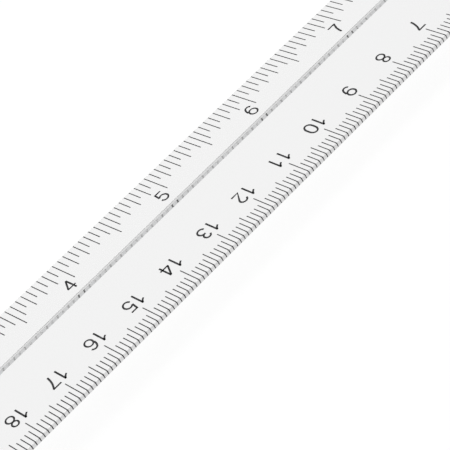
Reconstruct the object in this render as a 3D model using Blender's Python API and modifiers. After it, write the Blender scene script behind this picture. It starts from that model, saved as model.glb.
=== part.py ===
"""A 25 cm closed-back plastic slide rule, lying on its front with its measuring back upwards.

+X runs along the rule, towards the side where the inch scale's numbers grow.
+Y runs from the centimetre edge to the inch edge, and +Z points up, out of the measuring back.
The origin is under the middle of the rule, on the surface that it lies on.
"""

import math

import bmesh
import bpy
from mathutils import Matrix

MM = 0.001

# Driving dimensions, in metres.
SCALE_LENGTH = 250 * MM        # of the centimetre scale and of the log scales
END_MARGIN = 15 * MM           # of the rule past each end of its scales
RULE_WIDTH = 32.6 * MM

# Clearances.
SEAM = 0.3 * MM                # between two pieces that touch or are bonded
RUNNING_GAP = 0.3 * MM         # between two pieces that slide past each other
PIN_GAP = 0.15 * MM            # round a pin or a screw in its hole
CURSOR_GAP = 0.4 * MM          # between the cursor's window and the rule's front

# The two measuring plates that form the back, and the clear strip that joins them.
PLATE_THICKNESS = 1.2 * MM
CM_EDGE_THICKNESS = 0.95 * MM  # the overhang thins down to this at its edge
CM_EDGE_RADIUS = 0.35 * MM
PLATE_CORNER_RADIUS = 1.5 * MM
INCH_FACE_SLOPE = math.radians(2.77)
JOINT_FROM_MIDDLE = 3.93 * MM
JOINT_WIDTH = 1.6 * MM
STRIP_RECESS = 0.3 * MM        # of the strip's top below the centimetre face
THUMB_NOTCH_RADIUS = 5.0 * MM

# The reading windows in the centimetre plate, over the ends of the scales on the slide's back.
READING_WINDOW_LENGTH = 12 * MM
READING_WINDOW_WIDTH = 6.4 * MM
READING_WINDOW_MIDDLE_Y = -1.6 * MM
READING_WINDOW_RADIUS = 1.0 * MM

# The two rails that carry the front scales.
RAIL_SETBACK = 5.6 * MM        # from the measuring edge in to the rail's side

# The slide and its tongues.
SLIDE_WIDTH = 10.0 * MM
SLIDE_THICKNESS = 3.3 * MM
TONGUE_REACH = 1.2 * MM
TONGUE_THICKNESS = 0.7 * MM
TONGUE_GROOVE_SPARE = 0.4 * MM
SLIDE_BACK_GAP = 0.5 * MM      # from the slide's back to the well plate

# The spring-steel plate in the well's floor, and its pins.
WELL_PLATE_THICKNESS = 0.6 * MM
WELL_PLATE_LAP = 2.7 * MM      # how far it reaches over each rail
WELL_PLATE_END_GAP = 6 * MM    # from its end to the nearer reading window
PIN_RADIUS = 0.5 * MM
PIN_FLOOR = 0.5 * MM           # from a pin's foot to the tongue groove below it
PINS_PER_SIDE = 4
PIN_END_MARGIN = 10 * MM

# The cursor.
CURSOR_LENGTH = 30 * MM
CURSOR_FROM_SCALE_END = 25 * MM    # where it is parked
CURSOR_WINDOW_THICKNESS = 1.4 * MM
CURSOR_CORNER_RADIUS = 2.0 * MM
WINDOW_OVERHANG = 0.6 * MM         # of the window past each runner
RUNNER_THICKNESS = 2.0 * MM
RUNNER_SHOULDER = 0.8 * MM         # of the runner above its rail's groove
RUNNER_GROOVE_DEPTH = 1.5 * MM
RUNNER_GROOVE_HEIGHT = 1.5 * MM
RUNNER_GROOVE_MIDDLE = 2.05 * MM   # above the rule's front
LOWER_LIP_SPARE = 0.4 * MM         # from the lower runner's lip to the groove's floor
UPPER_LIP_REACH = 0.4 * MM         # how far the upper runner's lip enters its groove
SPRING_THICKNESS = 0.25 * MM
SPRING_HEIGHT = 0.9 * MM
SPRING_END_MARGIN = 3 * MM
SPRING_SPARE = 0.15 * MM
SCREW_RADIUS = 0.5 * MM
SCREW_HEAD_RADIUS = 0.85 * MM
SCREW_LENGTH = 3.6 * MM
SCREW_INSET = 0.1 * MM             # its head below the window's outer face
SCREW_SLOT_WIDTH = 0.25 * MM
SCREW_SLOT_DEPTH = 0.2 * MM
SCREW_FROM_END = 3.5 * MM          # in from each end of the cursor

# What follows from them.
HALF_LENGTH = SCALE_LENGTH / 2 + END_MARGIN
RULE_LENGTH = 2 * HALF_LENGTH
HALF_WIDTH = RULE_WIDTH / 2
FRONT_Z = CURSOR_WINDOW_THICKNESS + CURSOR_GAP
RAIL_TOP_Z = FRONT_Z + SLIDE_THICKNESS + SLIDE_BACK_GAP + WELL_PLATE_THICKNESS
PLATE_BOTTOM_Z = RAIL_TOP_Z + SEAM
FACE_Z = PLATE_BOTTOM_Z + PLATE_THICKNESS
JOINT_CM_Y = JOINT_FROM_MIDDLE - JOINT_WIDTH / 2
JOINT_INCH_Y = JOINT_FROM_MIDDLE + JOINT_WIDTH / 2
RAIL_OUTER_Y = HALF_WIDTH - RAIL_SETBACK
RAIL_INNER_Y = SLIDE_WIDTH / 2 + RUNNING_GAP
TONGUE_LOW_Z = FRONT_Z + (SLIDE_THICKNESS - TONGUE_THICKNESS) / 2
TONGUE_HIGH_Z = TONGUE_LOW_Z + TONGUE_THICKNESS
TONGUE_GROOVE_Y = SLIDE_WIDTH / 2 + TONGUE_REACH + TONGUE_GROOVE_SPARE
TONGUE_GROOVE_LOW_Z = TONGUE_LOW_Z - RUNNING_GAP
TONGUE_GROOVE_HIGH_Z = TONGUE_HIGH_Z + RUNNING_GAP
RUNNER_GROOVE_Y = RAIL_OUTER_Y - RUNNER_GROOVE_DEPTH
RUNNER_GROOVE_LOW_Z = FRONT_Z + RUNNER_GROOVE_MIDDLE - RUNNER_GROOVE_HEIGHT / 2
RUNNER_GROOVE_HIGH_Z = RUNNER_GROOVE_LOW_Z + RUNNER_GROOVE_HEIGHT
RUNNER_INNER_Y = RAIL_OUTER_Y + RUNNING_GAP
RUNNER_OUTER_Y = RUNNER_INNER_Y + RUNNER_THICKNESS
RUNNER_BOTTOM_Z = CURSOR_WINDOW_THICKNESS + SEAM
WELL_PLATE_Y = RAIL_INNER_Y + WELL_PLATE_LAP
WELL_PLATE_X = SCALE_LENGTH / 2 - READING_WINDOW_LENGTH / 2 - WELL_PLATE_END_GAP
CURSOR_X = SCALE_LENGTH / 2 - CURSOR_FROM_SCALE_END
ARC_STEPS = 8
ROUND_STEPS = 32

COLLECTION_NAME = "slide_rule"
CUTTER_COLLECTION_NAME = "slide_rule_cutters"
SCREW_HOLES = "cursor_screw_holes"


def clear_scene():
    for thing in list(bpy.data.objects):
        bpy.data.objects.remove(thing, do_unlink=True)


def collection(name, parent=None):
    if name in bpy.data.collections:
        return bpy.data.collections[name]
    group = bpy.data.collections.new(name)
    (parent or bpy.context.scene.collection).children.link(group)
    return group


def material(name, colour, roughness, metallic=0.0, alpha=1.0):
    made = bpy.data.materials.new(name)
    made.use_nodes = True
    shader = made.node_tree.nodes["Principled BSDF"]
    shader.inputs["Base Color"].default_value = (*colour, 1.0)
    shader.inputs["Roughness"].default_value = roughness
    shader.inputs["Metallic"].default_value = metallic
    shader.inputs["Alpha"].default_value = alpha
    return made


def place(name, mesh, look):
    """Put a mesh in the part's collection as the named piece."""
    piece = bpy.data.objects.new(name, mesh)
    collection(COLLECTION_NAME).objects.link(piece)
    mesh.materials.clear()
    mesh.materials.append(look)
    return piece


# Outlines: lists of points, with arcs where a corner is round.

def arc(centre, radius, start, end, steps=ARC_STEPS):
    """Points on an arc, from one angle to another, in degrees."""
    angles = [math.radians(start + (end - start) * i / steps) for i in range(steps + 1)]
    return [(centre[0] + radius * math.cos(a), centre[1] + radius * math.sin(a)) for a in angles]


def rounded_rectangle(low, high, radius):
    left, bottom = low[0] + radius, low[1] + radius
    right, top = high[0] - radius, high[1] - radius
    return (arc((right, bottom), radius, -90, 0) + arc((right, top), radius, 0, 90)
            + arc((left, top), radius, 90, 180) + arc((left, bottom), radius, 180, 270))


def mirrored(outline):
    """The same outline on the other side of the rule's middle."""
    return [(-y, z) for y, z in reversed(outline)]


# Solids.

def outline_mesh(outline, thickness, turn):
    """A flat outline as a filled 2D curve, given its thickness and made a mesh."""
    curve = bpy.data.curves.new("outline", "CURVE")
    curve.dimensions = "2D"
    curve.fill_mode = "BOTH"
    curve.extrude = thickness / 2
    spline = curve.splines.new("POLY")
    spline.points.add(len(outline) - 1)
    for point, (u, v) in zip(spline.points, outline):
        point.co = (u, v, 0, 1)
    spline.use_cyclic_u = True
    guide = bpy.data.objects.new("outline", curve)
    guide.rotation_euler = turn
    collection(COLLECTION_NAME).objects.link(guide)
    bpy.context.view_layer.update()
    evaluated = guide.evaluated_get(bpy.context.evaluated_depsgraph_get())
    mesh = bpy.data.meshes.new_from_object(evaluated)
    mesh.transform(guide.matrix_world)
    bpy.data.objects.remove(guide, do_unlink=True)
    bpy.data.curves.remove(curve)
    shape = bmesh.new()
    shape.from_mesh(mesh)
    bmesh.ops.remove_doubles(shape, verts=shape.verts, dist=0.001 * MM)
    bmesh.ops.recalc_face_normals(shape, faces=shape.faces)
    shape.to_mesh(mesh)
    shape.free()
    return mesh


def bar(name, outline, length, look, middle_x=0.0):
    """A piece of constant section along X. The outline is in Y and Z."""
    mesh = outline_mesh(outline, length, (math.radians(90), 0, math.radians(90)))
    mesh.transform(shift(middle_x, 0, 0))
    return place(name, mesh, look)


def slab(name, outline, bottom, top, look):
    """A flat piece cut to an outline in X and Y, between two heights."""
    mesh = outline_mesh(outline, top - bottom, (0, 0, 0))
    mesh.transform(shift(0, 0, (bottom + top) / 2))
    return place(name, mesh, look)


def shift(x, y, z):
    return Matrix.Translation((x, y, z))


def rod(name, radius, bottom, top, x, y, look):
    """A plain round pin along Z."""
    shape = bmesh.new()
    bmesh.ops.create_cone(shape, cap_ends=True, segments=ROUND_STEPS, radius1=radius,
                          radius2=radius, depth=top - bottom)
    mesh = bpy.data.meshes.new(name)
    shape.to_mesh(mesh)
    shape.free()
    piece = place(name, mesh, look)
    piece.location = (x, y, (bottom + top) / 2)
    return piece


def turned(name, profile, look):
    """A profile of (radius, height), from top to bottom, turned round Z."""
    shape = bmesh.new()
    corners = [shape.verts.new((radius, 0, height)) for radius, height in profile]
    for first, second in zip(corners, corners[1:]):
        shape.edges.new((first, second))
    mesh = bpy.data.meshes.new(name)
    shape.to_mesh(mesh)
    shape.free()
    piece = place(name, mesh, look)
    spin = piece.modifiers.new("turn", "SCREW")
    spin.steps = spin.render_steps = ROUND_STEPS
    spin.use_merge_vertices = True
    spin.merge_threshold = 0.001 * MM
    return piece


def cut(piece, cutter, operation="DIFFERENCE"):
    boolean = piece.modifiers.new("cut", "BOOLEAN")
    boolean.operation = operation
    boolean.solver = "EXACT"
    boolean.object = cutter


def as_cutter(piece, group_name=None):
    """Move a shape to the cutters, or to a group among them that cuts in one operation."""
    cutters = collection(CUTTER_COLLECTION_NAME)
    group = collection(group_name, cutters) if group_name else cutters
    collection(COLLECTION_NAME).objects.unlink(piece)
    group.objects.link(piece)
    piece.hide_render = True
    piece.display_type = "WIRE"
    return piece


def cut_with_group(piece, group_name):
    boolean = piece.modifiers.new("cut", "BOOLEAN")
    boolean.operation = "DIFFERENCE"
    boolean.solver = "EXACT"
    boolean.operand_type = "COLLECTION"
    boolean.collection = collection(group_name)


# The pieces.

def make_scale_plates(look):
    """The two plates that carry the centimetre and inch scales, cut to one rounded plan."""
    cm_outline = [(-HALF_WIDTH, FACE_Z - CM_EDGE_THICKNESS), (-RAIL_OUTER_Y, PLATE_BOTTOM_Z),
                  (JOINT_CM_Y, PLATE_BOTTOM_Z), (JOINT_CM_Y, FACE_Z)]
    cm_outline += arc((-HALF_WIDTH + CM_EDGE_RADIUS, FACE_Z - CM_EDGE_RADIUS), CM_EDGE_RADIUS, 90, 180)
    cm_plate = bar("scale_plate_cm", cm_outline, RULE_LENGTH, look)

    def inch_face_z(y):
        return FACE_Z - (y - JOINT_CM_Y) * math.tan(INCH_FACE_SLOPE)

    inch_outline = [(JOINT_INCH_Y, PLATE_BOTTOM_Z), (HALF_WIDTH, PLATE_BOTTOM_Z),
                    (HALF_WIDTH, inch_face_z(HALF_WIDTH)), (JOINT_INCH_Y, inch_face_z(JOINT_INCH_Y))]
    inch_plate = bar("scale_plate_inch", inch_outline, RULE_LENGTH, look)

    plan = rounded_rectangle((-HALF_LENGTH, -HALF_WIDTH - MM), (HALF_LENGTH, HALF_WIDTH + MM),
                             PLATE_CORNER_RADIUS + MM)
    plan_cutter = as_cutter(slab("plan_cutter", plan, PLATE_BOTTOM_Z - MM, FACE_Z + MM, look))
    for plate in (cm_plate, inch_plate):
        cut(plate, plan_cutter, "INTERSECT")
    return cm_plate, inch_plate


def make_joint_strip(look):
    """The clear strip bonded between the plates, that lets the stock flex open for the slide."""
    low, high = JOINT_CM_Y + SEAM, JOINT_INCH_Y - SEAM
    bottom, top = PLATE_BOTTOM_Z, FACE_Z - STRIP_RECESS
    outline = [(low, bottom), (high, bottom), (high, top), (low, top)]
    return bar("joint_strip", outline, RULE_LENGTH, look)


def cut_thumb_notches(pieces, look):
    """A half-round notch at each end, where a thumb pushes the slide out."""
    for side, end in (("left", -HALF_LENGTH), ("right", HALF_LENGTH)):
        cutter = rod(f"{side}_thumb_notch", THUMB_NOTCH_RADIUS, PLATE_BOTTOM_Z - MM, FACE_Z + MM,
                     end, 0, look)
        as_cutter(cutter)
        for piece in pieces:
            cut(piece, cutter)


def make_reading_windows(cm_plate, look):
    """The two clear panes let into the centimetre plate, with the openings that hold them."""
    half_length, half_width = READING_WINDOW_LENGTH / 2, READING_WINDOW_WIDTH / 2
    for side, middle in (("left", -SCALE_LENGTH / 2), ("right", SCALE_LENGTH / 2)):
        low = (middle - half_length, READING_WINDOW_MIDDLE_Y - half_width)
        high = (middle + half_length, READING_WINDOW_MIDDLE_Y + half_width)
        opening = slab(f"{side}_window_opening", rounded_rectangle(low, high, READING_WINDOW_RADIUS),
                       PLATE_BOTTOM_Z - MM, FACE_Z + MM, look)
        cut(cm_plate, as_cutter(opening))
        pane = rounded_rectangle((low[0] + SEAM, low[1] + SEAM), (high[0] - SEAM, high[1] - SEAM),
                                 READING_WINDOW_RADIUS - SEAM)
        slab(f"{side}_reading_window", pane, PLATE_BOTTOM_Z, FACE_Z, look)


def rail_outline():
    """The upper rail's section, with the rebate for the well plate and its two side grooves."""
    rebate_y = WELL_PLATE_Y + SEAM
    rebate_z = RAIL_TOP_Z - WELL_PLATE_THICKNESS - SEAM
    return [
        (RAIL_INNER_Y, FRONT_Z), (RAIL_OUTER_Y, FRONT_Z),
        (RAIL_OUTER_Y, RUNNER_GROOVE_LOW_Z), (RUNNER_GROOVE_Y, RUNNER_GROOVE_LOW_Z),
        (RUNNER_GROOVE_Y, RUNNER_GROOVE_HIGH_Z), (RAIL_OUTER_Y, RUNNER_GROOVE_HIGH_Z),
        (RAIL_OUTER_Y, RAIL_TOP_Z), (rebate_y, RAIL_TOP_Z),
        (rebate_y, rebate_z), (RAIL_INNER_Y, rebate_z),
        (RAIL_INNER_Y, TONGUE_GROOVE_HIGH_Z), (TONGUE_GROOVE_Y, TONGUE_GROOVE_HIGH_Z),
        (TONGUE_GROOVE_Y, TONGUE_GROOVE_LOW_Z), (RAIL_INNER_Y, TONGUE_GROOVE_LOW_Z),
    ]


def make_rails(look):
    upper = bar("upper_rail", rail_outline(), RULE_LENGTH, look)
    lower = bar("lower_rail", mirrored(rail_outline()), RULE_LENGTH, look)
    return lower, upper


def make_well_plate(look):
    """The spring plate that ties the rails together and closes the slide's well."""
    outline = rounded_rectangle((-WELL_PLATE_X, -WELL_PLATE_Y), (WELL_PLATE_X, WELL_PLATE_Y), MM)
    return slab("well_plate", outline, RAIL_TOP_Z - WELL_PLATE_THICKNESS, RAIL_TOP_Z, look)


def make_well_pins(well_plate, rails, look):
    """The headless pins that hold the well plate down on each rail."""
    top = RAIL_TOP_Z - PIN_GAP
    bottom = TONGUE_GROOVE_HIGH_Z + PIN_FLOOR
    pin_y = RAIL_INNER_Y + WELL_PLATE_LAP / 2 + PIN_RADIUS / 2
    reach = WELL_PLATE_X - PIN_END_MARGIN
    for rail, side, side_name in zip(rails, (-1, 1), ("lower", "upper")):
        holes = f"{side_name}_pin_holes"
        for i in range(PINS_PER_SIDE):
            x = -reach + 2 * reach * i / (PINS_PER_SIDE - 1)
            name = f"well_pin_{side_name}_{i + 1}"
            rod(name, PIN_RADIUS, bottom, top, x, side * pin_y, look)
            hole = rod(f"{name}_hole", PIN_RADIUS + PIN_GAP, bottom - PIN_GAP, RAIL_TOP_Z + MM,
                       x, side * pin_y, look)
            as_cutter(hole, holes)
        cut_with_group(rail, holes)
        cut_with_group(well_plate, holes)


def make_slide(look):
    """The slide, with a tongue on each side that runs in the rails' grooves."""
    side, tongue_y = SLIDE_WIDTH / 2, SLIDE_WIDTH / 2 + TONGUE_REACH
    half = [(side, FRONT_Z), (side, TONGUE_LOW_Z), (tongue_y, TONGUE_LOW_Z),
            (tongue_y, TONGUE_HIGH_Z), (side, TONGUE_HIGH_Z), (side, FRONT_Z + SLIDE_THICKNESS)]
    return bar("slide_bar", half + mirrored(half), RULE_LENGTH, look)


def runner_outline(lip_y):
    """The upper runner's section: a wall outside the rail, with a lip in the rail's groove."""
    lip_low = RUNNER_GROOVE_LOW_Z + RUNNING_GAP
    lip_high = RUNNER_GROOVE_HIGH_Z - RUNNING_GAP
    top = RUNNER_GROOVE_HIGH_Z + RUNNER_SHOULDER
    return [
        (RUNNER_INNER_Y, RUNNER_BOTTOM_Z), (RUNNER_OUTER_Y, RUNNER_BOTTOM_Z),
        (RUNNER_OUTER_Y, top), (RUNNER_INNER_Y, top),
        (RUNNER_INNER_Y, lip_high), (lip_y, lip_high), (lip_y, lip_low), (RUNNER_INNER_Y, lip_low),
    ]


def make_cursor(window_look, runner_look, spring_look, screw_look):
    """The cursor: a clear window screwed to two runners, one of them sprung against its rail."""
    half = CURSOR_LENGTH / 2
    side = RUNNER_OUTER_Y + WINDOW_OVERHANG
    plan = rounded_rectangle((CURSOR_X - half, -side), (CURSOR_X + half, side),
                             CURSOR_CORNER_RADIUS)
    window = slab("cursor_window", plan, 0, CURSOR_WINDOW_THICKNESS, window_look)

    lower_lip_y = RUNNER_GROOVE_Y + LOWER_LIP_SPARE
    upper_lip_y = RAIL_OUTER_Y - UPPER_LIP_REACH
    lower = bar("cursor_runner_lower", mirrored(runner_outline(lower_lip_y)), CURSOR_LENGTH,
                runner_look, CURSOR_X)
    upper = bar("cursor_runner_upper", runner_outline(upper_lip_y), CURSOR_LENGTH,
                runner_look, CURSOR_X)

    make_cursor_spring(upper_lip_y, spring_look)
    screw_y = (RUNNER_INNER_Y + RUNNER_OUTER_Y) / 2
    for side, side_name in ((-1, "lower"), (1, "upper")):
        for end, end_name in ((-1, "left"), (1, "right")):
            x = CURSOR_X + end * (CURSOR_LENGTH / 2 - SCREW_FROM_END)
            make_screw(f"cursor_screw_{side_name}_{end_name}", x, side * screw_y, screw_look)
    for piece in (window, lower, upper):
        cut_with_group(piece, SCREW_HOLES)


def make_cursor_spring(lip_y, look):
    """A bowed leaf between the upper runner's lip and the floor of its groove."""
    inner = RUNNER_GROOVE_Y + SPRING_SPARE
    outer = lip_y - SPRING_SPARE
    rise = outer - inner - SPRING_THICKNESS
    half = CURSOR_LENGTH / 2 - SPRING_END_MARGIN
    radius = (half * half + rise * rise) / (2 * rise)
    reach = math.degrees(math.asin(half / radius))
    centre = (CURSOR_X, inner + radius)
    leaf = (arc(centre, radius, 270 - reach, 270 + reach, 4 * ARC_STEPS)
            + arc(centre, radius - SPRING_THICKNESS, 270 + reach, 270 - reach, 4 * ARC_STEPS))
    middle = FRONT_Z + RUNNER_GROOVE_MIDDLE
    slab("cursor_spring", leaf, middle - SPRING_HEIGHT / 2, middle + SPRING_HEIGHT / 2, look)


def make_screw(name, x, y, look):
    """A countersunk slotted screw, head down, and the hole that it sits in."""
    head_depth = SCREW_HEAD_RADIUS - SCREW_RADIUS
    profile = [(0, SCREW_LENGTH), (SCREW_RADIUS, SCREW_LENGTH), (SCREW_RADIUS, head_depth),
               (SCREW_HEAD_RADIUS, 0), (0, 0)]
    screw = turned(name, profile, look)
    screw.location = (x, y, SCREW_INSET)
    slot = rounded_rectangle((x - 2 * SCREW_HEAD_RADIUS, y - SCREW_SLOT_WIDTH / 2),
                             (x + 2 * SCREW_HEAD_RADIUS, y + SCREW_SLOT_WIDTH / 2), 0.01 * MM)
    cut(screw, as_cutter(slab(f"{name}_slot", slot, -MM, SCREW_INSET + SCREW_SLOT_DEPTH, look)))

    wide, narrow = SCREW_HEAD_RADIUS + PIN_GAP, SCREW_RADIUS + PIN_GAP
    hole = [(0, SCREW_LENGTH + PIN_GAP), (narrow, SCREW_LENGTH + PIN_GAP), (narrow, wide - narrow),
            (wide, 0), (wide, -MM), (0, -MM)]
    sink = turned(f"{name}_hole", hole, look)
    sink.location = (x, y, SCREW_INSET)
    as_cutter(sink, SCREW_HOLES)


def main():
    clear_scene()
    white = material("white_plastic", (0.86, 0.86, 0.86), 0.3)
    rail_white = material("rail_plastic", (0.82, 0.82, 0.81), 0.35)
    clear = material("clear_plastic", (0.9, 0.92, 0.93), 0.08, alpha=0.35)
    steel = material("spring_steel", (0.55, 0.56, 0.58), 0.3, metallic=1.0)
    brass = material("brass_pin", (0.72, 0.55, 0.26), 0.3, metallic=1.0)

    cm_plate, inch_plate = make_scale_plates(white)
    strip = make_joint_strip(clear)
    cut_thumb_notches((cm_plate, inch_plate, strip), white)
    make_reading_windows(cm_plate, clear)
    rails = make_rails(rail_white)
    well_plate = make_well_plate(steel)
    make_well_pins(well_plate, rails, brass)
    make_slide(white)
    make_cursor(clear, rail_white, steel, steel)


main()
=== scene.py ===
"""The looks of a closed-back slide rule that lies on its front: plastics, clear panes, metal and print.

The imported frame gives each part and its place. Metres, +Z up, +X along the rule, +Y towards the inch edge.
"""
import math

import bmesh
import bpy
from mathutils import Matrix, Vector


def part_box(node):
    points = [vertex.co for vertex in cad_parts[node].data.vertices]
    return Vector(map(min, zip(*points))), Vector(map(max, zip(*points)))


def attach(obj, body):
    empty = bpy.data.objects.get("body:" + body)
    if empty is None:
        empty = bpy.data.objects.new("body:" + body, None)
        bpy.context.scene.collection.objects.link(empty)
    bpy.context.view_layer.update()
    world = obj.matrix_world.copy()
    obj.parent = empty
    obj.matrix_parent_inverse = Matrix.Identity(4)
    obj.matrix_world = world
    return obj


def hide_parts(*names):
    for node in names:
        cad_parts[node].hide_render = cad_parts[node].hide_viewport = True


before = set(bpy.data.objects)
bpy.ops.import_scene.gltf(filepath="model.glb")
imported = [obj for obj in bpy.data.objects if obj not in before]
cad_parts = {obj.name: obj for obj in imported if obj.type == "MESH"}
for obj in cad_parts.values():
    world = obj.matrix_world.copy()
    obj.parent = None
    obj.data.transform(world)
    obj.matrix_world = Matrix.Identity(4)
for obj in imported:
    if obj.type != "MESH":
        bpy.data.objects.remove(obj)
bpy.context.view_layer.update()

bl_info = {
    "name": "Slide Rule",
    "version": (1, 0, 0),
    "blender": (4, 5, 0),
    "location": "View3D > Sidebar > Slide Rule",
    "description": "Finishes the parts of a closed-back slide rule and prints its scales",
    "category": "Object",
}

MM = 0.001

# Places that the frame gives.
CM_LOW, CM_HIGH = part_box("scale_plate_cm")
INCH_LOW, INCH_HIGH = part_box("scale_plate_inch")
STRIP_LOW, STRIP_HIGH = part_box("joint_strip")
WINDOW_LOW, WINDOW_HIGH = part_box("left_reading_window")
RAIL_LOW, RAIL_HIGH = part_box("upper_rail")
SLIDE_LOW, SLIDE_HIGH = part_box("slide_bar")
PANE_LOW, PANE_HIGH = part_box("cursor_window")
RUNNER_LOW, RUNNER_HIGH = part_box("cursor_runner_upper")

# The plates' shape, as the frame has it.
CM_EDGE_ROUND = 0.35 * MM
INCH_SLOPE = math.radians(2.77)

# The scales: what they measure and where their zeros lie.
CM_SCALE = 250 * MM
CM_ZERO = CM_SCALE / 2
INCH = 25.4 * MM
INCHES = 10
INCH_PARTS = 18
INCH_ZERO = -INCHES * INCH / 2
LOG_SCALE = 250 * MM

# Print is a thin solid: its depth, and how far a mark stands proud of its face.
INK_DEPTH = 0.03 * MM
INK_PROUD = 0.012 * MM

# Numerals: points in half an ellipse or a bow, and a numeral's cell as a share of its height.
ARC_POINTS = 12
CELL = 0.645
CELL_MIDDLE = 0.32

# Where marks and numbers lie across the rule, for each step of marks.
CM_MARK_INNER = {10: -10.97 * MM, 5: -12.07 * MM, 1: -13.12 * MM}
CM_MARK_FOOT = 0.55 * MM       # down the wall, from where the edge's rounding ends
CM_NUMBER_BASE = -6.55 * MM
CM_NUMBER_SHIFT = 0.14 * MM
INCH_MARK_INNER = {18: 8.81 * MM, 9: 8.81 * MM, 2: 10.81 * MM, 1: 12.46 * MM}
INCH_MARK_OUTER = 16.15 * MM
INCH_NUMBER_BASE = 6.34 * MM
INCH_NUMBER_BEFORE = 2.1 * MM  # from a number's middle to its mark

# The strip in the groove, and the fillet on the groove's far side.
THUMB_NOTCH = 5 * MM           # radius of the notch that the strip stops at
STRIP_CLEARANCE = 0.02 * MM
STRIP_SINK = 0.06 * MM         # of the strip's middle below the top that the frame gives it
STRIP_RISE = 0.08 * MM         # of its sides, where it clings to the plates
STRIP_STEPS = 14
BEAD_WIDTH = 0.27 * MM
BEAD_BELOW_LIP = 0.1 * MM

# The slanted marks in the groove, one for each part of an inch: painted refraction, a darkened image of the
# inch scale's print as if seen through the strip, darkest where a number lies.
JOINT_MARK_LENGTH = 0.86 * MM
JOINT_MARK_WIDTH = 0.27 * MM
JOINT_MARK_LEAN = math.radians(-26.7)
JOINT_MARK_BEFORE = 0.27 * MM
JOINT_MARK_PAST_MIDDLE = 0.12 * MM
JOINT_MARK_LIFT = 0.02 * MM
JOINT_MARK_NUMBER_REACH = 1.2 * MM
JOINT_REFRACTION_TONES = {"faint": 0.47, "strong": 0.34, "dark": 0.08}

# The calculating scales.
SCALE_INSET = 0.12 * MM        # from a rail's or the slide's edge
SLIDE_SEAM = 0.3 * MM          # between the slide and a rail
SLIDE_MIDDLE_Y = -0.5 * MM     # where the scale between the slide's outer two starts
SMALL_STROKE_FACTOR = 1.1      # small numbers need a heavier stroke to print well

# The ribs on the cursor's runners.
GRIP_RIB = 0.22 * MM
GRIP_PITCH = 1.1 * MM
GRIP_MARGIN = 3 * MM
GRIP_SIDES = 10

# Metals.
SPRING_STEEL = (0.58, 0.59, 0.61)
BRIGHT_STEEL = (0.66, 0.67, 0.68)
BRASS = (0.74, 0.58, 0.3)

# The stage.
FLOOR_HALF = 4.0
SENSOR_WIDTH = 36
SOFTBOX_SIZE = 0.6
SOFTBOX_PLACE = (0.05, 0.28, 1.0)
SKY_LOW, SKY_HIGH = 0.05, 0.9  # the heights between which the sky's light grows


class SlideRuleInk(bpy.types.PropertyGroup):
    """Sizes of the printed marks and numbers."""

    colour: bpy.props.FloatVectorProperty(
        name="Ink", description="Colour of the printed scales", subtype="COLOR",
        size=3, min=0, max=1, default=(0.012, 0.012, 0.014))
    mark_width: bpy.props.FloatProperty(
        name="Mark width", description="Width of a centimetre or inch mark", unit="LENGTH",
        precision=5, default=0.2 * MM)
    number_height: bpy.props.FloatProperty(
        name="Number height", description="Height of the centimetre and inch numbers", unit="LENGTH",
        precision=5, default=3.57 * MM)
    stroke_share: bpy.props.FloatProperty(
        name="Stroke share", description="A stroke's width as a share of its number's height",
        default=0.105)
    fine_width: bpy.props.FloatProperty(
        name="Fine width", description="Width of a logarithmic mark or an index line", unit="LENGTH",
        precision=5, default=0.09 * MM)
    small_height: bpy.props.FloatProperty(
        name="Small number height", description="Height of the logarithmic scales' numbers",
        unit="LENGTH", precision=5, default=1.05 * MM)


class SlideRulePlastics(bpy.types.PropertyGroup):
    """Colours of the plastics and the rounding of their edges."""

    plate: bpy.props.FloatVectorProperty(
        name="Plates", description="Colour of the two scale plates", subtype="COLOR",
        size=3, min=0, max=1, default=(0.84, 0.84, 0.84))
    # The bead is the plates' white plastic, coloured darker as painted shade for the shadow in the groove.
    bead: bpy.props.FloatVectorProperty(
        name="Bead", description="Colour of the fillet beside the flexible strip", subtype="COLOR",
        size=3, min=0, max=1, default=(0.77, 0.77, 0.77))
    rail: bpy.props.FloatVectorProperty(
        name="Rails", description="Colour of the rails", subtype="COLOR",
        size=3, min=0, max=1, default=(0.8, 0.8, 0.79))
    slide: bpy.props.FloatVectorProperty(
        name="Slide", description="Colour of the slide", subtype="COLOR",
        size=3, min=0, max=1, default=(0.82, 0.82, 0.81))
    runner: bpy.props.FloatVectorProperty(
        name="Runners", description="Colour of the cursor's runners", subtype="COLOR",
        size=3, min=0, max=1, default=(0.72, 0.72, 0.71))
    edge_round: bpy.props.FloatProperty(
        name="Edge rounding", description="Radius that moulding leaves on a sharp edge",
        unit="LENGTH", precision=5, default=0.06 * MM)


class SlideRuleStage(bpy.types.PropertyGroup):
    """Camera, floor and light."""

    aim: bpy.props.FloatVectorProperty(
        name="Aim", description="The point that the camera looks at", subtype="TRANSLATION",
        size=3, default=(-2.6 * MM, -10.784 * MM, 7.797 * MM))
    distance: bpy.props.FloatProperty(
        name="Distance", description="From the camera to that point", unit="LENGTH",
        default=395.57 * MM)
    azimuth: bpy.props.FloatProperty(
        name="Azimuth", description="How far the camera stands round from the -Y side",
        subtype="ANGLE", default=math.radians(-26.67))
    elevation: bpy.props.FloatProperty(
        name="Elevation", description="Height of the camera above the horizon", subtype="ANGLE",
        default=math.radians(38.17))
    roll: bpy.props.FloatProperty(
        name="Roll", description="Turn of the camera about its own line of sight", subtype="ANGLE",
        default=math.radians(-27.29))
    lens: bpy.props.FloatProperty(
        name="Lens", description="Focal length on a 36 mm wide sensor, in millimetres", default=173.12)
    floor_glow: bpy.props.FloatProperty(
        name="Floor glow", description="Light that the pale table gives off", default=0.91)
    sky_top: bpy.props.FloatProperty(
        name="Light overhead", description="Strength of the soft light straight above", default=0.68)
    sky_side: bpy.props.FloatProperty(
        name="Light at the sides", description="Strength of the soft light near the horizon",
        default=0.38)
    lamp_power: bpy.props.FloatProperty(
        name="Lamp", description="Power of the softbox above, in watts", default=5.5)


# ---------------------------------------------------------------- materials

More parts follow.
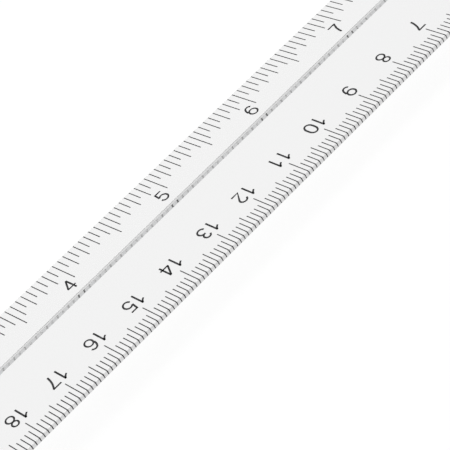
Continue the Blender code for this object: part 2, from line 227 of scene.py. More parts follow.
class Finish:
    """A node material under construction, with its pattern read from Object coordinates."""

    def __init__(self, name):
        self.material = bpy.data.materials.new(name)
        self.material.use_nodes = True
        self.tree = self.material.node_tree
        self.shader = self.tree.nodes["Principled BSDF"]
        self.place = self.tree.nodes.new("ShaderNodeTexCoord").outputs["Object"]

    def set(self, **values):
        """Fixed values go straight on the shader's sockets."""
        for socket, value in values.items():
            self.shader.inputs[socket.replace("_", " ")].default_value = value

    def link(self, a, b):
        self.tree.links.new(a, b)

    def noise(self, scale, detail=2.0, stretch=(1, 1, 1)):
        """Noise with so many blotches to the metre, stretched along the axes."""
        mapping = self.tree.nodes.new("ShaderNodeMapping")
        mapping.inputs["Scale"].default_value = stretch
        noise = self.tree.nodes.new("ShaderNodeTexNoise")
        noise.inputs["Scale"].default_value = scale
        noise.inputs["Detail"].default_value = detail
        self.link(self.place, mapping.inputs["Vector"])
        self.link(mapping.outputs["Vector"], noise.inputs["Vector"])
        return noise.outputs["Fac"]

    def between(self, value, low, high, start=0.3, end=0.7):
        """A value from start to end becomes one from low to high."""
        ranged = self.tree.nodes.new("ShaderNodeMapRange")
        for socket, number in (("From Min", start), ("From Max", end), ("To Min", low), ("To Max", high)):
            ranged.inputs[socket].default_value = number
        self.link(value, ranged.inputs["Value"])
        return ranged.outputs["Result"]

    def shade(self, value, colour, spread):
        """The colour, darker by the spread where the value is low and lighter where it is high."""
        mix = self.tree.nodes.new("ShaderNodeMix")
        mix.data_type = "RGBA"
        mix.inputs["A"].default_value = (*[c * (1 - spread) for c in colour], 1)
        mix.inputs["B"].default_value = (*[min(1, c * (1 + spread)) for c in colour], 1)
        self.link(self.between(value, 0, 1), mix.inputs["Factor"])
        self.link(mix.outputs["Result"], self.shader.inputs["Base Color"])

    def rough(self, value, low, high):
        self.link(self.between(value, low, high), self.shader.inputs["Roughness"])

    def bump(self, value, height, strength=1.0):
        """A bump of so many metres."""
        bump = self.tree.nodes.new("ShaderNodeBump")
        bump.inputs["Strength"].default_value = strength
        bump.inputs["Distance"].default_value = height
        self.link(value, bump.inputs["Height"])
        self.link(bump.outputs["Normal"], self.shader.inputs["Normal"])


def glossy_plastic(name, colour, low=0.16, high=0.26):
    """White moulded plastic: an even colour, faint flow mottle and a soft gloss."""
    finish = Finish(name)
    finish.shade(finish.noise(140, 3, (0.4, 1, 1)), colour, 0.008)
    finish.rough(finish.noise(900, 2, (0.3, 1, 1)), low, high)
    finish.bump(finish.noise(1600, 3), 0.004 * MM)
    finish.set(IOR=1.49, Coat_Weight=0.15, Coat_Roughness=0.08)
    return finish.material


def satin_plastic(name, colour):
    """Moulded plastic with the fine even grain of an etched mould."""
    finish = Finish(name)
    finish.shade(finish.noise(300, 3), colour, 0.015)
    finish.rough(finish.noise(1200), 0.38, 0.5)
    finish.bump(finish.noise(7000, 2), 0.012 * MM)
    finish.set(IOR=1.49)
    return finish.material


def clear_plastic(name, colour=(0.97, 0.98, 0.985)):
    """Polished clear plastic with faint handling haze, thin enough to see straight through."""
    finish = Finish(name)
    finish.shade(finish.noise(250, 2), colour, 0.006)
    finish.rough(finish.noise(700, 4, (1, 0.15, 1)), 0.02, 0.06)
    finish.set(IOR=1.49, Alpha=0.16)
    return finish.material


def milky_plastic(name, colour=(0.66, 0.665, 0.67)):
    """Soft cloudy plastic that lets a little light through."""
    finish = Finish(name)
    finish.shade(finish.noise(600, 3, (0.3, 1, 1)), colour, 0.02)
    finish.rough(finish.noise(1500, 2), 0.2, 0.35)
    finish.bump(finish.noise(1200, 2, (0.3, 1, 1)), 0.006 * MM)
    finish.set(IOR=1.45, Transmission_Weight=0.15)
    return finish.material


def rolled_steel(name, colour, along=(0.03, 1, 1)):
    """Rolled spring steel: a grain that runs along the strip."""
    finish = Finish(name)
    grain = finish.noise(4000, 3, along)
    finish.shade(grain, colour, 0.12)
    finish.rough(grain, 0.22, 0.4)
    finish.bump(grain, 0.004 * MM)
    finish.set(Metallic=1.0)
    return finish.material


def turned_metal(name, colour):
    """A small turned part with a fine grain round its axis."""
    finish = Finish(name)
    grain = finish.noise(6000, 2, (1, 1, 3))
    finish.shade(grain, colour, 0.08)
    finish.rough(grain, 0.15, 0.32)
    finish.bump(finish.noise(9000, 2), 0.003 * MM)
    finish.set(Metallic=1.0)
    return finish.material


def scale_ink(name, colour):
    """Printing ink that lies a little unevenly; it also colours the painted refraction of the inch print in
    the groove.
    """
    finish = Finish(name)
    patchy = finish.noise(2600, 3)
    finish.shade(patchy, colour, 0.35)
    finish.rough(patchy, 0.45, 0.65)
    finish.bump(finish.noise(9000, 2), 0.004 * MM)
    return finish.material


def material_named(name, make, *details):
    """The finish of that name, made once."""
    return bpy.data.materials.get(name) or make(name, *details)


def ink():
    return material_named("black_ink", scale_ink, bpy.context.scene.slide_rule_ink.colour)


def finish_nodes(material, *nodes):
    """Gives frame parts, whose shape stays, their material."""
    for node in nodes:
        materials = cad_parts[node].data.materials
        materials.clear()
        materials.append(material)


# ---------------------------------------------------------------- mesh helpers

def mesh_from(bm, name):
    mesh = bpy.data.meshes.new(name)
    bm.to_mesh(mesh)
    bm.free()
    return mesh


def add_piece(name, mesh, material, body, replaced=()):
    """Puts a finished mesh in the scene as a piece of the object that moves with a body."""
    piece = bpy.data.objects.new(name, mesh)
    bpy.context.scene.collection.objects.link(piece)
    mesh.materials.clear()
    mesh.materials.append(material)
    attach(piece, body)
    if replaced:
        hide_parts(*replaced)
    return piece


def stamp(bm, mesh, matrix):
    """Adds a copy of a mesh to bm, moved by a matrix."""
    start = len(bm.verts)
    bm.from_mesh(mesh)
    bm.verts.ensure_lookup_table()
    bmesh.ops.transform(bm, matrix=matrix, verts=bm.verts[start:])


def block(bm, middle, size, turn=None):
    """Adds a box with its middle and size, turned about its middle."""
    matrix = Matrix.Translation(middle) @ (turn or Matrix.Identity(4)) @ Matrix.Diagonal((*size, 1))
    bmesh.ops.create_cube(bm, size=1, matrix=matrix)


def ribbon(points, width):
    """A flat sheet at Z 0, a ribbon of that width along points in the XY plane."""
    curve = bpy.data.curves.new("stroke", "CURVE")
    curve.dimensions = "3D"
    curve.twist_mode = "Z_UP"
    curve.extrude = width / 2
    closed = (points[0] - points[-1]).length < 1e-6
    points = points[:-1] if closed else points
    spline = curve.splines.new("POLY")
    spline.points.add(len(points) - 1)
    spline.use_cyclic_u = closed
    for target, point in zip(spline.points, points):
        target.co = (point.x, point.y, 0, 1)
        target.tilt = math.pi / 2
    holder = bpy.data.objects.new("stroke", curve)
    mesh = bpy.data.meshes.new_from_object(holder)
    bpy.data.objects.remove(holder)
    bpy.data.curves.remove(curve)
    return mesh


def rounded_copy(node, radius, sharp=math.radians(35)):
    """A merged copy of a frame part with its sharp edges rounded as moulding leaves them."""
    bm = bmesh.new()
    bm.from_mesh(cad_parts[node].data)
    bmesh.ops.remove_doubles(bm, verts=bm.verts, dist=1e-6)
    bmesh.ops.dissolve_limit(bm, angle_limit=math.radians(0.3), verts=bm.verts, edges=bm.edges)
    edges = [e for e in bm.edges if len(e.link_faces) == 2 and e.calc_face_angle() > sharp]
    bmesh.ops.bevel(bm, geom=edges, offset=radius, offset_type="OFFSET", segments=2, profile=0.5,
                    affect="EDGES", clamp_overlap=True, material=-1)
    return bm


def add_moulded(node, material, body, radius):
    """A frame part's rounded copy takes its place."""
    name = node + "_moulded"
    add_piece(name, mesh_from(rounded_copy(node, radius), name), material, body, (node,))


# ---------------------------------------------------------------- numerals

def arc(centre, rx, ry, start, end):
    """Points on part of an ellipse, with its angles in degrees."""
    steps = max(3, round(abs(end - start) / 360 * 2 * ARC_POINTS))
    angles = [math.radians(start + (end - start) * i / steps) for i in range(steps + 1)]
    return [Vector((centre[0] + rx * math.cos(a), centre[1] + ry * math.sin(a))) for a in angles]


def line(*points):
    return [Vector(p) for p in points]


def bow(start, pull, end):
    """Points on a curve from start to end that is pulled towards a third point."""
    a, b, c = Vector(start), Vector(pull), Vector(end)
    shares = [i / ARC_POINTS for i in range(ARC_POINTS + 1)]
    return [a * (1 - t) ** 2 + b * 2 * t * (1 - t) + c * t * t for t in shares]


def numeral_strokes(digit, half):
    """The centre lines of a numeral one unit high, for strokes of that half width."""
    top = 1 - half
    six = [arc((0.325, 0.315), 0.23, 0.27, 0, 360),
           arc((0.34, 0.49), 0.247, 0.467, 180, 90) + arc((0.34, 0.76), 0.21, 0.197, 90, 15)[1:]]
    strokes = {
        "0": [arc((0.32, 0.62), 0.231, 0.336, 0, 180) + arc((0.32, 0.38), 0.231, 0.336, 180, 360)
              + line((0.551, 0.62))],
        "1": [line((0.388, 0), (0.388, 1)), bow((0.14, 0.72), (0.3, 0.79), (0.388, 0.97))],
        "2": [arc((0.31, 0.73), 0.215, 0.226, 170, -35) + line((0.1, half), (0.575, half))],
        "3": [arc((0.305, 0.745), 0.19, 0.211, 165, -90), line((0.235, 0.534), (0.31, 0.534)),
              arc((0.31, 0.29), 0.232, 0.246, 90, -165)],
        "4": [line((0.46, 0), (0.46, 1)), line((0.045, 0.28), (0.615, 0.28)),
              line((0.075, 0.285), (0.44, 0.97))],
        "5": [line((0.15, top), (0.545, top)), line((0.165, 1), (0.1, 0.49)),
              arc((0.305, 0.325), 0.235, 0.28, 140, -165)],
        "6": six,
        "7": [line((0.05, top), (0.6, top)), bow((0.575, top), (0.29, 0.55), (0.235, 0))],
        "8": [arc((0.32, 0.755), 0.19, 0.2, 0, 360), arc((0.32, 0.285), 0.231, 0.242, 0, 360)],
        "9": [[Vector((0.64 - p.x, 1 - p.y)) for p in stroke] for stroke in six],
    }
    return strokes[digit]


def numeral_meshes(height, width, depth):
    """A closed thin mesh for each numeral, on its base line, with each stroke above or below Z 0."""
    meshes = {}
    for digit in "0123456789":
        bm = bmesh.new()
        for stroke in numeral_strokes(digit, width / height / 2):
            points = [p * height for p in stroke]
            bm.from_mesh(ribbon(points, width))
        bmesh.ops.recalc_face_normals(bm, faces=bm.faces)
        bmesh.ops.solidify(bm, geom=bm.faces[:], thickness=depth)
        bmesh.ops.recalc_face_normals(bm, faces=bm.faces)
        meshes[digit] = mesh_from(bm, f"numeral_{digit}")
    return meshes


def write(bm, meshes, text, height, place):
    """Writes a number with the middle of its base line at a place, which also turns it."""
    for i, digit in enumerate(text):
        along = (i - (len(text) - 1) / 2) * CELL - CELL_MIDDLE
        stamp(bm, meshes[digit], place @ Matrix.Translation((along * height, 0, 0)))


def facing(x, y, z, reads, normal):
    """A place for print: its middle, the direction it reads in and the face's outward normal."""
    reads, normal = Vector(reads).normalized(), Vector(normal).normalized()
    up = normal.cross(reads)
    matrix = Matrix((reads, up, normal)).transposed().to_4x4()
    matrix.translation = Vector((x, y, z)) + normal * INK_PROUD
    return matrix


# ---------------------------------------------------------------- the measuring back

class SLIDE_RULE_OT_plates(bpy.types.Operator):
    """Finish the two scale plates of the measuring back"""

    bl_idname = "slide_rule.plates"
    bl_label = "Scale Plates"

    def execute(self, context):
        plastics = context.scene.slide_rule_plastics
        white = material_named("plate_plastic", glossy_plastic, plastics.plate)
        for node in ("scale_plate_cm", "scale_plate_inch"):
            add_moulded(node, white, "stock", plastics.edge_round)
        return {"FINISHED"}


class SLIDE_RULE_OT_reading_windows(bpy.types.Operator):
    """Finish the two clear reading windows and rule their index lines"""

    bl_idname = "slide_rule.reading_windows"
    bl_label = "Reading Windows"

    def execute(self, context):
        plastics = context.scene.slide_rule_plastics
        for node in ("left_reading_window", "right_reading_window"):
            add_moulded(node, material_named("clear_plastic", clear_plastic), "stock",
                        plastics.edge_round)
        bm = bmesh.new()
        width = context.scene.slide_rule_ink.fine_width
        middle_y = (WINDOW_LOW.y + WINDOW_HIGH.y) / 2
        length = WINDOW_HIGH.y - WINDOW_LOW.y
        for side in (-1, 1):
            block(bm, (side * CM_ZERO, middle_y, WINDOW_LOW.z - INK_DEPTH / 2), (width, length, INK_DEPTH))
        add_piece("index_lines", mesh_from(bm, "index_lines"), ink(), "stock")
        return {"FINISHED"}


class SLIDE_RULE_OT_joint(bpy.types.Operator):
    """Cast the milky flexible strip into its groove, with its fillet in painted shade and faint marks of
    painted refraction
    """

    bl_idname = "slide_rule.joint"
    bl_label = "Joint Strip"

    def execute(self, context):
        low, high = CM_HIGH.y + STRIP_CLEARANCE, INCH_LOW.y - STRIP_CLEARANCE
        middle, half = (low + high) / 2, (high - low) / 2
        floor = STRIP_HIGH.z - STRIP_SINK
        profile = [(low, STRIP_LOW.z), (high, STRIP_LOW.z)]
        for i in range(STRIP_STEPS + 1):
            t = 1 - 2 * i / STRIP_STEPS
            profile.append((middle + half * t, floor + STRIP_RISE * abs(t) ** 5))
        add_piece("joint_strip_cast", self.lengthwise(profile, "joint_strip_cast"),
                  material_named("milky_strip", milky_plastic), "stock", ("joint_strip",))

        bead = [(high, STRIP_LOW.z + STRIP_RISE), (high, INCH_HIGH.z - BEAD_BELOW_LIP),
                (high - BEAD_WIDTH, floor + INK_DEPTH), (high - BEAD_WIDTH, STRIP_LOW.z + STRIP_RISE)]
        # Painted shade: the bead is coloured darker than the plates to stand for the shadow in the groove.
        white = material_named("bead_plastic", glossy_plastic, context.scene.slide_rule_plastics.bead)
        add_piece("joint_bead", self.lengthwise(bead, "joint_bead"), white, "stock")

        # Painted refraction: these marks stand for the inch scale's print seen through the strip, not for
        # print on the strip.
        marks = {kind: bmesh.new() for kind in JOINT_REFRACTION_TONES}
        lean = Matrix.Rotation(JOINT_MARK_LEAN, 4, "Z")
        z = floor + JOINT_MARK_LIFT
        for part in range(INCHES * INCH_PARTS + 1):
            x = INCH_ZERO + part * INCH / INCH_PARTS
            before = round((x - INCH_ZERO) / INCH) * INCH + INCH_ZERO - INCH_NUMBER_BEFORE
            near_number = abs(x - before) < JOINT_MARK_NUMBER_REACH
            kind = "strong" if part % 2 == 0 else "faint"
            if near_number:
                kind = "dark"
            place = (x - JOINT_MARK_BEFORE, middle + JOINT_MARK_PAST_MIDDLE, z)
            block(marks[kind], place, (JOINT_MARK_WIDTH, JOINT_MARK_LENGTH, INK_DEPTH), lean)
        for kind, tone in JOINT_REFRACTION_TONES.items():
            name = f"joint_marks_{kind}"
            look = material_named(f"{kind}_print", scale_ink, (tone, tone, tone))
            add_piece(name, mesh_from(marks[kind], name), look, "stock")
        return {"FINISHED"}

    def lengthwise(self, profile, name):
        """A bar with that outline across the rule, as long as the thumb notches leave room for."""
        bm = bmesh.new()
        face = bm.faces.new([bm.verts.new((-1, y, z)) for y, z in profile])
        run = bmesh.ops.extrude_face_region(bm, geom=[face])["geom"]
        bmesh.ops.translate(bm, vec=(2, 0, 0), verts=[v for v in run if isinstance(v, bmesh.types.BMVert)])
        for v in bm.verts:
            notch = math.sqrt(THUMB_NOTCH ** 2 - v.co.y ** 2)
            v.co.x = math.copysign(CM_HIGH.x - notch, v.co.x)
        bmesh.ops.recalc_face_normals(bm, faces=bm.faces)
        return mesh_from(bm, name)


def edge_mark(inner, width):
    """A mark that runs over the centimetre plate's face, round its edge and down its wall."""
    top, outer = CM_HIGH.z, CM_LOW.y
    centre = (outer + CM_EDGE_ROUND, top - CM_EDGE_ROUND)
    foot = top - CM_EDGE_ROUND - CM_MARK_FOOT
    reach = CM_EDGE_ROUND + INK_PROUD
    bend = arc(centre, reach, reach, 90, 180)
    path = [Vector((inner, top + INK_PROUD))] + bend + [Vector((outer - INK_PROUD, foot))]
    bm = bmesh.new()
    verts = [bm.verts.new((-width / 2, p.x, p.y)) for p in path]
    edges = [bm.edges.new(pair) for pair in zip(verts, verts[1:])]
    side = bmesh.ops.extrude_edge_only(bm, edges=edges)["geom"]
    bmesh.ops.translate(bm, vec=(width, 0, 0), verts=[v for v in side if isinstance(v, bmesh.types.BMVert)])
    bmesh.ops.recalc_face_normals(bm, faces=bm.faces)
    if bm.faces[:][0].normal.z < 0:
        bmesh.ops.reverse_faces(bm, faces=bm.faces)
    bmesh.ops.solidify(bm, geom=bm.faces[:], thickness=INK_DEPTH)
    bmesh.ops.recalc_face_normals(bm, faces=bm.faces)
    return mesh_from(bm, "edge_mark")


class SLIDE_RULE_OT_centimetre_scale(bpy.types.Operator):
    """Print the centimetre scale: its marks, which run down the edge, and its numbers"""

    bl_idname = "slide_rule.centimetre_scale"
    bl_label = "Centimetre Scale"

    def execute(self, context):
        settings = context.scene.slide_rule_ink
        marks = {step: edge_mark(inner, settings.mark_width) for step, inner in CM_MARK_INNER.items()}
        bm = bmesh.new()
        for reading in range(round(CM_SCALE / MM) + 1):
            step = next(s for s in (10, 5, 1) if reading % s == 0)
            stamp(bm, marks[step], Matrix.Translation((CM_ZERO - reading * MM, 0, 0)))
        add_piece("centimetre_marks", mesh_from(bm, "centimetre_marks"), ink(), "stock")

        height = settings.number_height
        numerals = numeral_meshes(height, height * settings.stroke_share, INK_DEPTH)
        bm = bmesh.new()
        for number in range(round(CM_SCALE / (10 * MM)) + 1):
            x = CM_ZERO - number * 10 * MM + CM_NUMBER_SHIFT
            place = facing(x, CM_NUMBER_BASE, CM_HIGH.z, (-1, 0, 0), (0, 0, 1))
            write(bm, numerals, str(number), height, place)
        add_piece("centimetre_numbers", mesh_from(bm, "centimetre_numbers"), ink(), "stock")
        return {"FINISHED"}


def inch_face_z(y):
    """Height of the sloping inch face at a distance across the rule."""
    return INCH_HIGH.z - (y - INCH_LOW.y) * math.tan(INCH_SLOPE)


class SLIDE_RULE_OT_inch_scale(bpy.types.Operator):
    """Print the inch scale on its sloping face"""

    bl_idname = "slide_rule.inch_scale"
    bl_label = "Inch Scale"

    def execute(self, context):
        settings = context.scene.slide_rule_ink
        lean = Matrix.Rotation(-INCH_SLOPE, 4, "X")
        bm = bmesh.new()
        for part in range(INCHES * INCH_PARTS + 1):
            step = next(s for s in (18, 9, 2, 1) if part % s == 0)
            inner = INCH_MARK_INNER[step]
            y = (inner + INCH_MARK_OUTER) / 2
            length = (INCH_MARK_OUTER - inner) / math.cos(INCH_SLOPE)
            z = inch_face_z(y) + INK_PROUD - INK_DEPTH / 2
            block(bm, (INCH_ZERO + part * INCH / INCH_PARTS, y, z),
                  (settings.mark_width, length, INK_DEPTH), lean)
        add_piece("inch_marks", mesh_from(bm, "inch_marks"), ink(), "stock")

        height = settings.number_height
        numerals = numeral_meshes(height, height * settings.stroke_share, INK_DEPTH)
        normal = (0, math.sin(INCH_SLOPE), math.cos(INCH_SLOPE))
        bm = bmesh.new()
        for number in range(INCHES + 1):
            extra = (len(str(number)) - 1) * CELL * height / 2
            x = INCH_ZERO + number * INCH - INCH_NUMBER_BEFORE - extra
            place = facing(x, INCH_NUMBER_BASE, inch_face_z(INCH_NUMBER_BASE), (1, 0, 0), normal)
            write(bm, numerals, str(number), height, place)
        add_piece("inch_numbers", mesh_from(bm, "inch_numbers"), ink(), "stock")
        return {"FINISHED"}


# ---------------------------------------------------------------- calculating scales

# Each stretch of a scale: start, end, step, and the steps of its middle and long marks, in hundredths.
ONE_DECADE = ((100, 200, 1, 5, 10), (200, 400, 2, 10, 50), (400, 1000, 5, 10, 50))
TWO_DECADES = ((100, 200, 2, 10, 50), (200, 500, 5, 10, 50), (500, 1000, 10, 50, 100))
THREE_DECADES = ((100, 300, 5, 10, 50), (300, 600, 10, 50, 100), (600, 1000, 20, 100, 100))
TENTHS = ((0, 1000, 5, 10, 50),)
SINES = ((600, 1000, 10, 50, 100), (1000, 2000, 20, 100, 500), (2000, 3000, 50, 100, 500),
         (3000, 6000, 100, 500, 1000), (6000, 8000, 200, 1000, 1000), (8000, 9000, 500, 1000, 1000))
TANGENTS = ((600, 1000, 10, 50, 100), (1000, 2000, 20, 100, 500), (2000, 4500, 50, 100, 500))
MARK_LENGTHS = (0.7 * MM, 0.95 * MM, 1.25 * MM)
NUMBER_GAP = 0.12 * MM


def log_share(value):
    return math.log10(value / 100)


def sine_share(value):
    return math.log10(10 * math.sin(math.radians(value / 100)))


def tangent_share(value):
    return math.log10(10 * math.tan(math.radians(value / 100)))


def stretch_values(stretches):
    """Each mark's value and how long it is, 0 to 2, with the scale's last value."""
    for start, end, step, middle, long in stretches:
        for value in range(start, end, step):
            yield value, 2 if value % long == 0 else 1 if value % middle == 0 else 0
    yield stretches[-1][1], 2


class ScaleFace:
    """A flat face that calculating scales are printed on, and the print that collects on it."""

    def __init__(self, settings, z, normal):
        self.settings = settings
        self.z = z
        self.normal = normal
        self.reads = normal
        self.marks = bmesh.new()
        self.numbers = bmesh.new()
        height = settings.small_height
        stroke = height * settings.stroke_share * SMALL_STROKE_FACTOR
        self.numerals = numeral_meshes(height, stroke, INK_DEPTH)

    def print_scale(self, y, side, stretches, share, numbers, decades=1, backwards=False):
        """Prints a scale whose marks rise from y to that side; numbers gives a value's text or nothing."""
        height = self.settings.small_height
        above = MARK_LENGTHS[2] + NUMBER_GAP
        base = y + (above if side > 0 else -above - height)
        mark_z = self.z + self.normal * (INK_PROUD - INK_DEPTH / 2)
        for decade in range(decades):
            for value, rank in stretch_values(stretches):
                if decade and value == stretches[0][0]:
                    continue
                along = (decade + share(value)) / decades
                along = 1 - along if backwards else along
                x = self.reads * (along - 0.5) * LOG_SCALE
                length = MARK_LENGTHS[rank]
                block(self.marks, (x, y + side * length / 2, mark_z),
                      (self.settings.fine_width, length, INK_DEPTH))
                text = numbers(value)
                if text:
                    place = facing(x, base, self.z, (self.reads, 0, 0), (0, 0, self.normal))
                    write(self.numbers, self.numerals, text, height, place)

    def finish(self, name, body):
        for kind, bm in (("marks", self.marks), ("numbers", self.numbers)):
            add_piece(f"{name}_{kind}", mesh_from(bm, f"{name}_{kind}"), ink(), body)


def whole_numbers(value):
    """1 to 9 and 1 again, as logarithmic scales are numbered."""
    if value % 100:
        return ""
    return "1" if value == 1000 else str(value // 100)


def fine_numbers(value):
    """The whole numbers, and the tenths between 1 and 2."""
    if value < 200 and value % 10 == 0 and value % 100:
        return str(value % 100 // 10)
    return whole_numbers(value)


def tenth_numbers(value):
    return str(value // 100) if value % 100 == 0 else ""


def degree_numbers(value):
    """Every fifth degree, and those at the crowded and the open end."""
    numbered = value in (600, 700, 800, 9000) or (value % 500 == 0 and value < 8000)
    return str(value // 100) if numbered else ""


# ---------------------------------------------------------------- rails, slide, cursor

class SLIDE_RULE_OT_rails(bpy.types.Operator):
    """Finish the rails, the well plate and its pins, and print the rails' scales"""

    bl_idname = "slide_rule.rails"
    bl_label = "Rails and Well"

    def execute(self, context):
        plastics = context.scene.slide_rule_plastics
        white = material_named("rail_plastic", glossy_plastic, plastics.rail)
        for node in ("lower_rail", "upper_rail"):
            add_moulded(node, white, "stock", plastics.edge_round)
        finish_nodes(material_named("spring_steel", rolled_steel, SPRING_STEEL), "well_plate")
        pins = [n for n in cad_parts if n.startswith("well_pin_")]
        finish_nodes(material_named("brass_pin", turned_metal, BRASS), *pins)

        front = ScaleFace(context.scene.slide_rule_ink, RAIL_LOW.z, -1)
        seam, edge = RAIL_LOW.y + SCALE_INSET, RAIL_HIGH.y - SCALE_INSET
        front.print_scale(seam, 1, TWO_DECADES, log_share, whole_numbers, decades=2)
        front.print_scale(edge, -1, THREE_DECADES, log_share, whole_numbers, decades=3)
        front.print_scale(-seam, -1, ONE_DECADE, log_share, fine_numbers)
        front.print_scale(-edge, 1, TENTHS, lambda value: value / 1000, tenth_numbers)
        front.finish("rail_scale", "stock")
        return {"FINISHED"}


class SLIDE_RULE_OT_slide(bpy.types.Operator):
    """Finish the slide and print its front and back scales"""

    bl_idname = "slide_rule.slide"
    bl_label = "Slide"

    def execute(self, context):
        plastics = context.scene.slide_rule_plastics
        white = material_named("slide_plastic", glossy_plastic, plastics.slide)
        add_moulded("slide_bar", white, "slide", plastics.edge_round)

        edge = RAIL_LOW.y - SLIDE_SEAM - SCALE_INSET
        front = ScaleFace(context.scene.slide_rule_ink, SLIDE_LOW.z, -1)
        front.print_scale(edge, -1, TWO_DECADES, log_share, whole_numbers, decades=2)
        front.print_scale(SLIDE_MIDDLE_Y, -1, ONE_DECADE, log_share, whole_numbers, backwards=True)
        front.print_scale(-edge, 1, ONE_DECADE, log_share, fine_numbers)
        front.finish("slide_scale", "slide")

        back = ScaleFace(context.scene.slide_rule_ink, SLIDE_HIGH.z, 1)
        back.print_scale(edge, -1, SINES, sine_share, degree_numbers)
        back.print_scale(SLIDE_MIDDLE_Y, -1, TENTHS, lambda value: value / 1000, tenth_numbers)
        back.print_scale(-edge, 1, TANGENTS, tangent_share, degree_numbers)
        back.finish("slide_back_scale", "slide")
        return {"FINISHED"}


class SLIDE_RULE_OT_cursor(bpy.types.Operator):
    """Finish the cursor, rule its hairline and raise the ribs that fingers hold"""

    bl_idname = "slide_rule.cursor"
    bl_label = "Cursor"

    def execute(self, context):
        plastics = context.scene.slide_rule_plastics
        clear = material_named("clear_plastic", clear_plastic)
        satin = material_named("runner_plastic", satin_plastic, plastics.runner)
        add_moulded("cursor_window", clear, "cursor", 2 * plastics.edge_round)
        for node in ("cursor_runner_lower", "cursor_runner_upper"):
            add_moulded(node, satin, "cursor", plastics.edge_round)
        finish_nodes(material_named("spring_steel", rolled_steel, SPRING_STEEL), "cursor_spring")
        screws = [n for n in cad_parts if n.startswith("cursor_screw_")]
        finish_nodes(material_named("screw_steel", turned_metal, BRIGHT_STEEL), *screws)

        middle_x = (PANE_LOW.x + PANE_HIGH.x) / 2
        bm = bmesh.new()
        block(bm, (middle_x, 0, PANE_HIGH.z + INK_DEPTH / 2 - INK_PROUD),
              (context.scene.slide_rule_ink.fine_width, 2 * RAIL_HIGH.y, INK_DEPTH))
        add_piece("cursor_hairline", mesh_from(bm, "cursor_hairline"), ink(), "cursor")
        self.add_grips(satin, middle_x)
        return {"FINISHED"}

    def add_grips(self, satin, middle_x):
        """Half-round upright ribs on the outer face of each runner."""
        reach = (RUNNER_HIGH.x - RUNNER_LOW.x) / 2 - GRIP_MARGIN
        count = round(2 * reach / GRIP_PITCH)
        height = RUNNER_HIGH.z - RUNNER_LOW.z - 2 * GRIP_RIB
        bm = bmesh.new()
        for side in (-1, 1):
            for i in range(count + 1):
                x = middle_x + (i - count / 2) * GRIP_PITCH
                place = Matrix.Translation((x, side * RUNNER_HIGH.y, (RUNNER_LOW.z + RUNNER_HIGH.z) / 2))
                bmesh.ops.create_cone(bm, cap_ends=True, segments=GRIP_SIDES, depth=height, matrix=place,
                                      radius1=GRIP_RIB, radius2=GRIP_RIB)
        add_piece("cursor_grip_ribs", mesh_from(bm, "cursor_grip_ribs"), satin, "cursor")


# ---------------------------------------------------------------- stage

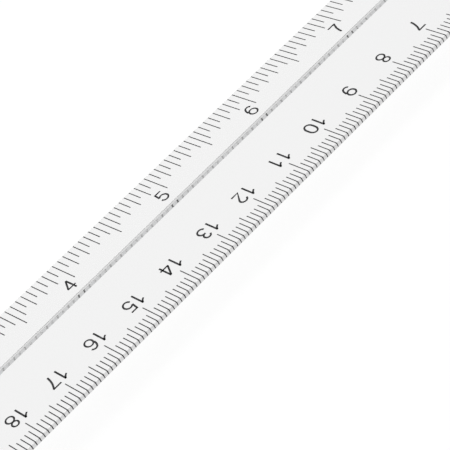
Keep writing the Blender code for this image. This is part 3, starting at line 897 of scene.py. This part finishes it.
class SLIDE_RULE_OT_stage(bpy.types.Operator):
    """Set up the camera, the pale table and the soft light"""

    bl_idname = "slide_rule.stage"
    bl_label = "Stage"

    def execute(self, context):
        stage = context.scene.slide_rule_stage
        self.add_camera(context, stage)
        self.add_floor(context, stage)
        self.add_sky(context, stage)
        self.add_lamp(context, stage)
        context.scene.view_settings.view_transform = "Standard"
        return {"FINISHED"}

    def add_camera(self, context, stage):
        data = bpy.data.cameras.new("camera")
        data.lens = stage.lens
        data.sensor_width = SENSOR_WIDTH
        data.clip_start = 10 * MM
        data.clip_end = 20
        camera = bpy.data.objects.new("camera", data)
        context.scene.collection.objects.link(camera)
        turn = (Matrix.Rotation(stage.azimuth, 4, "Z")
                @ Matrix.Rotation(math.pi / 2 - stage.elevation, 4, "X")
                @ Matrix.Rotation(stage.roll, 4, "Z"))
        camera.matrix_world = (Matrix.Translation(Vector(stage.aim)) @ turn
                               @ Matrix.Translation((0, 0, stage.distance)))
        context.scene.camera = camera

    def add_floor(self, context, stage):
        bm = bmesh.new()
        bmesh.ops.create_grid(bm, x_segments=1, y_segments=1, size=FLOOR_HALF)
        floor = bpy.data.objects.new("floor", mesh_from(bm, "floor"))
        context.scene.collection.objects.link(floor)
        finish = Finish("floor_paint")
        finish.shade(finish.noise(20), (0.1, 0.1, 0.1), 0.02)
        finish.set(Roughness=1.0, Emission_Color=(1, 1, 1, 1), Emission_Strength=stage.floor_glow,
                   Specular_IOR_Level=0.0)
        floor.data.materials.append(finish.material)

    def add_sky(self, context, stage):
        world = bpy.data.worlds.new("sky")
        world.use_nodes = True
        tree = world.node_tree
        direction = tree.nodes.new("ShaderNodeTexCoord")
        split = tree.nodes.new("ShaderNodeSeparateXYZ")
        strength = tree.nodes.new("ShaderNodeMapRange")
        for socket, number in (("From Min", SKY_LOW), ("From Max", SKY_HIGH),
                               ("To Min", stage.sky_side), ("To Max", stage.sky_top)):
            strength.inputs[socket].default_value = number
        tree.links.new(direction.outputs["Generated"], split.inputs["Vector"])
        tree.links.new(split.outputs["Z"], strength.inputs["Value"])
        tree.links.new(strength.outputs["Result"], tree.nodes["Background"].inputs["Strength"])
        tree.nodes["Background"].inputs["Color"].default_value = (1, 1, 1, 1)
        context.scene.world = world

    def add_lamp(self, context, stage):
        """A square softbox overhead, a little behind the rule."""
        data = bpy.data.lights.new("softbox", "AREA")
        data.size = SOFTBOX_SIZE
        data.energy = stage.lamp_power
        lamp = bpy.data.objects.new("softbox", data)
        context.scene.collection.objects.link(lamp)
        place = Vector(SOFTBOX_PLACE)
        lamp.matrix_world = Matrix.Translation(place) @ place.to_track_quat("Z", "Y").to_matrix().to_4x4()


# ---------------------------------------------------------------- add-on

OPERATORS = (
    SLIDE_RULE_OT_stage, SLIDE_RULE_OT_plates, SLIDE_RULE_OT_joint, SLIDE_RULE_OT_reading_windows,
    SLIDE_RULE_OT_centimetre_scale, SLIDE_RULE_OT_inch_scale, SLIDE_RULE_OT_rails,
    SLIDE_RULE_OT_slide, SLIDE_RULE_OT_cursor,
)


class SLIDE_RULE_PT_panel(bpy.types.Panel):
    """The slide rule's steps and settings in the sidebar"""

    bl_idname = "SLIDE_RULE_PT_panel"
    bl_label = "Slide Rule"
    bl_space_type = "VIEW_3D"
    bl_region_type = "UI"
    bl_category = "Slide Rule"

    def draw(self, context):
        for operator in OPERATORS:
            self.layout.operator(operator.bl_idname)
        for group in (context.scene.slide_rule_ink, context.scene.slide_rule_plastics,
                      context.scene.slide_rule_stage):
            box = self.layout.box()
            for name in group.bl_rna.properties.keys():
                if name not in ("rna_type", "name"):
                    box.prop(group, name)


SETTINGS = {
    "slide_rule_ink": SlideRuleInk,
    "slide_rule_plastics": SlideRulePlastics,
    "slide_rule_stage": SlideRuleStage,
}


def register():
    for cls in (*SETTINGS.values(), *OPERATORS, SLIDE_RULE_PT_panel):
        bpy.utils.register_class(cls)
    for name, group in SETTINGS.items():
        setattr(bpy.types.Scene, name, bpy.props.PointerProperty(type=group))


def unregister():
    for name in SETTINGS:
        delattr(bpy.types.Scene, name)
    for cls in (SLIDE_RULE_PT_panel, *reversed(OPERATORS), *reversed(SETTINGS.values())):
        bpy.utils.unregister_class(cls)


def main():
    register()
    for operator in OPERATORS:
        getattr(bpy.ops.slide_rule, operator.bl_idname.split(".")[1])()


if __name__ == "__main__":
    main()
